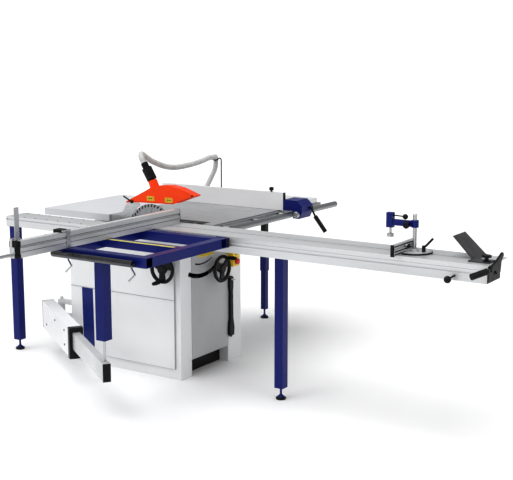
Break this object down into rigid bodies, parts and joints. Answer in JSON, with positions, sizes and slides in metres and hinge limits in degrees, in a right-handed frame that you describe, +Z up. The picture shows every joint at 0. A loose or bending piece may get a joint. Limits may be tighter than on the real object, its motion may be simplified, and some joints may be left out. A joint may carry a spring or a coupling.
{
  "type": "sliding table panel saw",
  "caption": "Floor-standing panel saw: cabinet with tilting blade, long sliding table on a beam, outrigger on a telescopic swing arm, crosscut and rip fences, blade guard with hose.",
  "frame": {"origin": "middle of the machine's footprint at floor level", "axes": "+X towards the operator's end of the beam, +Y from the sliding table towards the rip fence, +Z up"},
  "size_m": [3.0463, 2.675, 1.2284],
  "materials": {
    "painted_white": "satin powder coat",
    "painted_light_grey": "satin powder coat",
    "painted_grey": "satin powder coat",
    "ground_cast_iron": "ground and oiled",
    "dark_cast_iron": "as cast, painted dark",
    "navy_paint": "gloss powder coat",
    "orange_plastic": "moulded, semi-gloss",
    "black_plastic": "moulded, satin",
    "bright_steel": "brushed",
    "chrome": "polished",
    "satin_aluminium": "anodised, satin",
    "motor_grey": "painted casting",
    "yellow_plastic": "moulded, satin",
    "red_plastic": "moulded, gloss",
    "green_plastic": "moulded, gloss",
    "grey_hose": "corrugated flexible hose"
  },
  "bodies": {
    "machine": {"cabinet": "painted_light_grey", "front_panel": "painted_grey", "main_table": "ground_cast_iron", "table_insert": "bright_steel", "rear_table": "painted_white", "right_table": "painted_white", "beam": "satin_aluminium", "leg_rear": "navy_paint", "leg_front": "navy_paint", "leg_side": "navy_paint", "rip_rail": "bright_steel", "swing_arm_bracket": "painted_light_grey", "switch_box": "yellow_plastic", "hose_hook": "bright_steel", "hose_far": "grey_hose", "push_handle": "black_plastic"},
    "tilt_unit": {"trunnion": "dark_cast_iron"},
    "saddle_unit": {"saddle": "dark_cast_iron", "motor": "motor_grey", "drive_belt": "black_plastic", "riving_knife": "bright_steel", "guard": "orange_plastic", "hose_cuff": "black_plastic", "hose_near": "grey_hose"},
    "blade": {"saw_blade": "bright_steel"},
    "motor_pulley": {"motor_pulley": "bright_steel"},
    "scoring_blade": {"scoring_blade": "bright_steel"},
    "guard_lever": {"guard_lever": "black_plastic"},
    "lift_wheel": {"lift_handwheel": "black_plastic"},
    "lift_grip": {"lift_crank_grip": "black_plastic"},
    "tilt_wheel": {"tilt_handwheel": "black_plastic"},
    "tilt_grip": {"tilt_crank_grip": "black_plastic"},
    "stop_button": {"stop_button": "red_plastic"},
    "start_button": {"start_button": "green_plastic"},
    "push_stick": {"push_stick": "black_plastic"},
    "sliding_table": {"carriage": "satin_aluminium", "outrigger_frame": "navy_paint"},
    "arm_outer": {"swing_arm_outer": "painted_light_grey"},
    "arm_inner": {"swing_arm_inner": "satin_aluminium"},
    "outrigger_roller": {"outrigger_roller": "chrome"},
    "rear_clamp_crank": {"rear_clamp_crank": "bright_steel"},
    "front_clamp_crank": {"front_clamp_crank": "bright_steel"},
    "crosscut_fence": {"crosscut_fence": "satin_aluminium"},
    "fence_stop": {"stop_block": "black_plastic"},
    "stop_finger": {"stop_finger": "bright_steel"},
    "fence_extension": {"extension_bar": "bright_steel"},
    "end_stop_finger": {"end_stop_finger": "bright_steel"},
    "extension_lever": {"extension_lever": "black_plastic"},
    "mitre_gauge": {"mitre_base": "dark_cast_iron"},
    "mitre_fence": {"mitre_fence": "satin_aluminium"},
    "mitre_lever": {"mitre_lever": "black_plastic"},
    "clamp_arm": {"clamp_arm": "navy_paint"},
    "clamp_lever": {"clamp_lever": "black_plastic"},
    "clamp_foot": {"clamp_foot": "bright_steel"},
    "edging_shoe": {"edging_shoe": "dark_cast_iron"},
    "shoe_knob": {"shoe_knob": "black_plastic"},
    "table_lock_knob": {"table_lock_knob": "black_plastic"},
    "rip_fence": {"rip_fence_carriage": "navy_paint"},
    "rip_board": {"rip_fence_board": "painted_white"},
    "rip_lever": {"rip_fence_lever": "black_plastic"}
  },
  "joints": [
    {"name": "blade_tilt", "type": "hinge", "parent": "machine", "child": "tilt_unit", "pos_m": [-0.6086, 0.0445, 0.85], "axis": [-1, 0, 0], "range_deg": [0, 45]},
    {"name": "blade_lift", "type": "slide", "parent": "tilt_unit", "child": "saddle_unit", "axis": [0, 0, 1], "range_m": [-0.08, 0]},
    {"name": "arbor_spin", "type": "hinge", "parent": "saddle_unit", "child": "blade", "pos_m": [-0.6086, 0.0445, 0.7785], "axis": [0, 1, 0], "continuous": true},
    {"name": "motor_spin", "type": "hinge", "parent": "saddle_unit", "child": "motor_pulley", "pos_m": [-0.7836, 0.0445, 0.7], "axis": [0, 1, 0], "continuous": true},
    {"name": "scoring_spin", "type": "hinge", "parent": "tilt_unit", "child": "scoring_blade", "pos_m": [-0.3036, 0.0445, 0.806], "axis": [0, 1, 0], "continuous": true},
    {"name": "guard_lever_turn", "type": "hinge", "parent": "saddle_unit", "child": "guard_lever", "pos_m": [-0.7256, 0.0445, 0.944], "axis": [0, 1, 0], "range_deg": [-20, 60]},
    {"name": "lift_wheel_turn", "type": "hinge", "parent": "tilt_unit", "child": "lift_wheel", "pos_m": [-0.2036, 0.1615, 0.585], "axis": [1, 0, 0], "range_deg": [0, 2525]},
    {"name": "tilt_wheel_turn", "type": "hinge", "parent": "machine", "child": "tilt_wheel", "pos_m": [-0.3366, -0.2145, 0.63], "axis": [0, 1, 0], "range_deg": [0, 2880]},
    {"name": "lift_grip_spin", "type": "hinge", "parent": "lift_wheel", "child": "lift_grip", "pos_m": [-0.2036, 0.196, 0.64476], "axis": [1, 0, 0], "continuous": true},
    {"name": "tilt_grip_spin", "type": "hinge", "parent": "tilt_wheel", "child": "tilt_grip", "pos_m": [-0.34261, -0.2145, 0.56126], "axis": [0, -1, 0], "continuous": true},
    {"name": "stop_button_press", "type": "slide", "parent": "machine", "child": "stop_button", "axis": [-1, 0, 0], "range_m": [0, 0.005], "stiffness_N_per_m": 300},
    {"name": "start_button_press", "type": "slide", "parent": "machine", "child": "start_button", "axis": [-1, 0, 0], "range_m": [0, 0.003], "stiffness_N_per_m": 300},
    {"name": "push_stick_swing", "type": "hinge", "parent": "machine", "child": "push_stick", "pos_m": [-0.2491, 0.3145, 0.492], "axis": [1, 0, 0], "range_deg": [-60, 60]},
    {"name": "carriage_slide", "type": "slide", "parent": "machine", "child": "sliding_table", "axis": [1, 0, 0], "range_m": [-1.35, 0]},
    {"name": "swing_arm_hinge", "type": "hinge", "parent": "machine", "child": "arm_outer", "pos_m": [-1.2686, -0.0175, 0.255], "axis": [0, 0, 1], "range_deg": [-68.4, 0]},
    {"name": "swing_arm_extend", "type": "slide", "parent": "arm_outer", "child": "arm_inner", "axis": [0.8241, -0.5664, 0], "range_m": [-0.48, 0]},
    {"name": "outrigger_roller_spin", "type": "hinge", "parent": "sliding_table", "child": "outrigger_roller", "pos_m": [-0.1986, -0.9305, 0.82], "axis": [1, 0, 0], "continuous": true},
    {"name": "rear_clamp_turn", "type": "hinge", "parent": "sliding_table", "child": "rear_clamp_crank", "pos_m": [-0.3986, -0.8805, 0.7997], "axis": [0, 0, 1], "range_deg": [0, 270]},
    {"name": "front_clamp_turn", "type": "hinge", "parent": "sliding_table", "child": "front_clamp_crank", "pos_m": [0.0014, -0.8805, 0.7997], "axis": [0, 0, 1], "range_deg": [0, 270]},
    {"name": "crosscut_swing", "type": "hinge", "parent": "sliding_table", "child": "crosscut_fence", "pos_m": [-0.3956, -0.2715, 0.85], "axis": [0, 0, 1], "range_deg": [0, 45]},
    {"name": "stop_slide", "type": "slide", "parent": "crosscut_fence", "child": "fence_stop", "axis": [0, 1, 0], "range_m": [-0.2, 0.5]},
    {"name": "stop_flip", "type": "hinge", "parent": "fence_stop", "child": "stop_finger", "pos_m": [-0.3726, -0.9225, 0.938], "axis": [0, -1, 0], "range_deg": [0, 110]},
    {"name": "extension_slide", "type": "slide", "parent": "crosscut_fence", "child": "fence_extension", "axis": [0, 1, 0], "range_m": [-0.5, 0]},
    {"name": "end_stop_flip", "type": "hinge", "parent": "fence_extension", "child": "end_stop_finger", "pos_m": [-0.3886, -1.225, 0.9385], "axis": [0, 1, 0], "range_deg": [0, 90]},
    {"name": "extension_lever_turn", "type": "hinge", "parent": "crosscut_fence", "child": "extension_lever", "pos_m": [-0.4186, -1.1895, 0.8693], "axis": [1, 0, 0], "range_deg": [0, 60]},
    {"name": "mitre_slide", "type": "slide", "parent": "sliding_table", "child": "mitre_gauge", "axis": [1, 0, 0], "range_m": [-0.8, 0.04]},
    {"name": "mitre_turn", "type": "hinge", "parent": "mitre_gauge", "child": "mitre_fence", "pos_m": [1.0884, -0.089, 0.85], "axis": [0, 0, 1], "range_deg": [-45, 45]},
    {"name": "mitre_lever_turn", "type": "hinge", "parent": "mitre_gauge", "child": "mitre_lever", "pos_m": [1.1414, -0.099, 0.8688], "axis": [0, 0, 1], "range_deg": [-60, 60]},
    {"name": "clamp_swing", "type": "hinge", "parent": "mitre_gauge", "child": "clamp_arm", "pos_m": [1.0884, -0.089, 0.987], "axis": [0, 0, 1], "range_deg": [-60, 60]},
    {"name": "clamp_lever_lift", "type": "hinge", "parent": "clamp_arm", "child": "clamp_lever", "pos_m": [0.9634, -0.089, 1.021], "axis": [0, -1, 0], "range_deg": [0, 70]},
    {"name": "clamp_foot_press", "type": "slide", "parent": "clamp_arm", "child": "clamp_foot", "axis": [0, 0, 1], "range_m": [0, 0.0061]},
    {"name": "shoe_slide", "type": "slide", "parent": "sliding_table", "child": "edging_shoe", "axis": [1, 0, 0], "range_m": [-0.06, 0]},
    {"name": "shoe_knob_turn", "type": "hinge", "parent": "edging_shoe", "child": "shoe_knob", "pos_m": [1.4744, -0.1525, 0.8568], "axis": [0, 0, 1], "continuous": true},
    {"name": "table_lock_turn", "type": "hinge", "parent": "machine", "child": "table_lock_knob", "pos_m": [1.3494, -0.2155, 0.79], "axis": [0, 1, 0], "range_deg": [-90, 90]},
    {"name": "rip_fence_slide", "type": "slide", "parent": "machine", "child": "rip_fence", "axis": [0, 1, 0], "range_m": [-0.62, 0.32]},
    {"name": "rip_board_slide", "type": "slide", "parent": "rip_fence", "child": "rip_board", "axis": [1, 0, 0], "range_m": [-0.3, 0]},
    {"name": "rip_lever_lift", "type": "hinge", "parent": "rip_fence", "child": "rip_lever", "pos_m": [-0.0128, 0.8215, 0.866], "axis": [1, 0, 0], "range_deg": [0, 60]}
  ],
  "couplings": [
    {"joint": "motor_spin", "follows": "arbor_spin", "ratio": 0.7111},
    {"joint": "lift_wheel_turn", "follows": "blade_lift", "rad_per_m": -550},
    {"joint": "tilt_wheel_turn", "follows": "blade_tilt", "ratio": 64},
    {"joint": "swing_arm_hinge", "follows": "carriage_slide", "rad_per_m": 0.8817},
    {"joint": "swing_arm_extend", "follows": "carriage_slide", "ratio": 0.3552},
    {"joint": "clamp_foot_press", "follows": "clamp_lever_lift", "m_per_rad": 0.0049}
  ]
}
